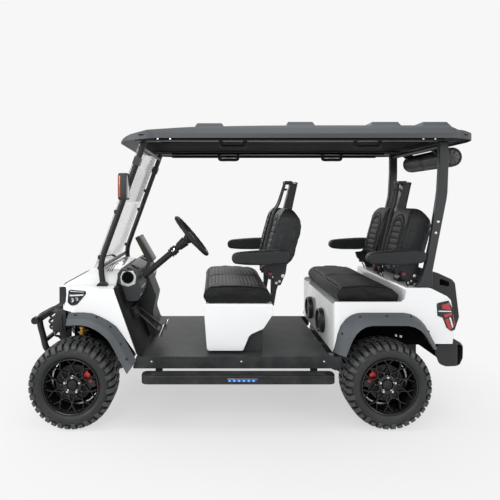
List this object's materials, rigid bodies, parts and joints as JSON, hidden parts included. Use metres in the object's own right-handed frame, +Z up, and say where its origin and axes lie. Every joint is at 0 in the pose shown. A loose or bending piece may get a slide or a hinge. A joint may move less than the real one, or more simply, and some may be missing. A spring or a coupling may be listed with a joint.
{
  "type": "golf cart",
  "caption": "Lifted electric golf cart with two forward-facing bench rows, hard roof on four struts, windshield, brush guard and a bag well.",
  "frame": {"origin": "on the ground, under the middle of the bounding box", "axes": "+X forward, +Y to the left of the driver, +Z up"},
  "size_m": [3.16, 1.32, 2.087],
  "materials": {
    "white_paint": "gloss",
    "charcoal_plastic": "satin",
    "black_plastic": "satin",
    "black_steel": "satin",
    "dash_grey": "grained",
    "floor_rubber": "ribbed",
    "seat_leather": "satin",
    "tyre_rubber": "matte",
    "rim_gloss_black": "gloss",
    "cast_grey": "matte",
    "lamp_clear": "gloss",
    "lamp_red": "gloss",
    "windshield_clear": "clear",
    "battery_case": "matte"
  },
  "bodies": {
    "chassis": {"chassis_frame": "black_steel", "floor_deck": "floor_rubber", "side_step_left": "charcoal_plastic", "side_step_right": "charcoal_plastic", "front_cowl": "white_paint", "front_fascia": "black_plastic", "headlight_left": "lamp_clear", "headlight_right": "lamp_clear", "front_bumper": "black_plastic", "brush_guard": "black_steel", "front_flare_left": "charcoal_plastic", "front_flare_right": "charcoal_plastic", "rear_flare_left": "charcoal_plastic", "rear_flare_right": "charcoal_plastic", "dashboard": "dash_grey", "steering_column": "black_plastic", "pedals": "black_steel", "windshield": "windshield_clear", "front_struts": "charcoal_plastic", "rear_struts": "charcoal_plastic", "sound_bar": "black_plastic", "roof": "charcoal_plastic", "mirror": "black_plastic", "front_liner": "black_plastic", "rear_liner": "black_plastic", "front_seat_pod": "white_paint", "battery_pack": "battery_case", "front_seat_frame": "black_steel", "rear_seat_frame": "black_steel", "front_cushion": "seat_leather", "rear_cushion": "seat_leather", "front_back_left": "seat_leather", "front_back_right": "seat_leather", "rear_back_left": "seat_leather", "rear_back_right": "seat_leather", "front_armrest_left": "seat_leather", "front_armrest_right": "seat_leather", "rear_armrest_left": "seat_leather", "rear_armrest_right": "seat_leather", "rear_body": "white_paint", "speaker_left": "black_plastic", "speaker_right": "black_plastic", "bag_well": "charcoal_plastic", "tail_light_left": "lamp_red", "tail_light_right": "lamp_red", "rear_bumper": "charcoal_plastic", "rear_axle": "black_steel", "front_suspension": "black_steel"},
    "steering_wheel": {"steering_wheel": "black_plastic"},
    "tie_rod": {"tie_rod": "black_steel"},
    "knuckle_left": {"knuckle_left": "cast_grey"},
    "knuckle_right": {"knuckle_right": "cast_grey"},
    "wheel_front_left": {"tyre_front_left": "tyre_rubber", "rim_front_left": "rim_gloss_black"},
    "wheel_front_right": {"tyre_front_right": "tyre_rubber", "rim_front_right": "rim_gloss_black"},
    "wheel_rear_left": {"tyre_rear_left": "tyre_rubber", "rim_rear_left": "rim_gloss_black"},
    "wheel_rear_right": {"tyre_rear_right": "tyre_rubber", "rim_rear_right": "rim_gloss_black"}
  },
  "joints": [
    {"name": "steer_left", "type": "hinge", "parent": "chassis", "child": "knuckle_left", "pos_m": [1.205, 0.42, 0.292], "axis": [0, 0, 1], "range_deg": [-28, 28]},
    {"name": "steer_right", "type": "hinge", "parent": "chassis", "child": "knuckle_right", "pos_m": [1.205, -0.42, 0.292], "axis": [0, 0, 1], "range_deg": [-28, 28]},
    {"name": "steering_wheel_turn", "type": "hinge", "parent": "chassis", "child": "steering_wheel", "pos_m": [0.406, 0.27, 1.285], "axis": [-0.766, 0, 0.6428], "range_deg": [-370, 370]},
    {"name": "tie_rod_slide", "type": "slide", "parent": "chassis", "child": "tie_rod", "axis": [0, 1, 0], "range_m": [-0.062, 0.062]},
    {"name": "wheel_spin_front_left", "type": "hinge", "parent": "knuckle_left", "child": "wheel_front_left", "pos_m": [1.205, 0.51, 0.292], "axis": [0, 1, 0], "continuous": true},
    {"name": "wheel_spin_front_right", "type": "hinge", "parent": "knuckle_right", "child": "wheel_front_right", "pos_m": [1.205, -0.51, 0.292], "axis": [0, 1, 0], "continuous": true},
    {"name": "wheel_spin_rear_left", "type": "hinge", "parent": "chassis", "child": "wheel_rear_left", "pos_m": [-0.945, 0.51, 0.292], "axis": [0, 1, 0], "continuous": true},
    {"name": "wheel_spin_rear_right", "type": "hinge", "parent": "chassis", "child": "wheel_rear_right", "pos_m": [-0.945, -0.51, 0.292], "axis": [0, 1, 0], "continuous": true}
  ],
  "couplings": [
    {"joint": "steer_right", "follows": "steer_left", "ratio": 1},
    {"joint": "steering_wheel_turn", "follows": "steer_left", "ratio": 13},
    {"joint": "tie_rod_slide", "follows": "steer_left", "m_per_rad": -0.12}
  ]
}
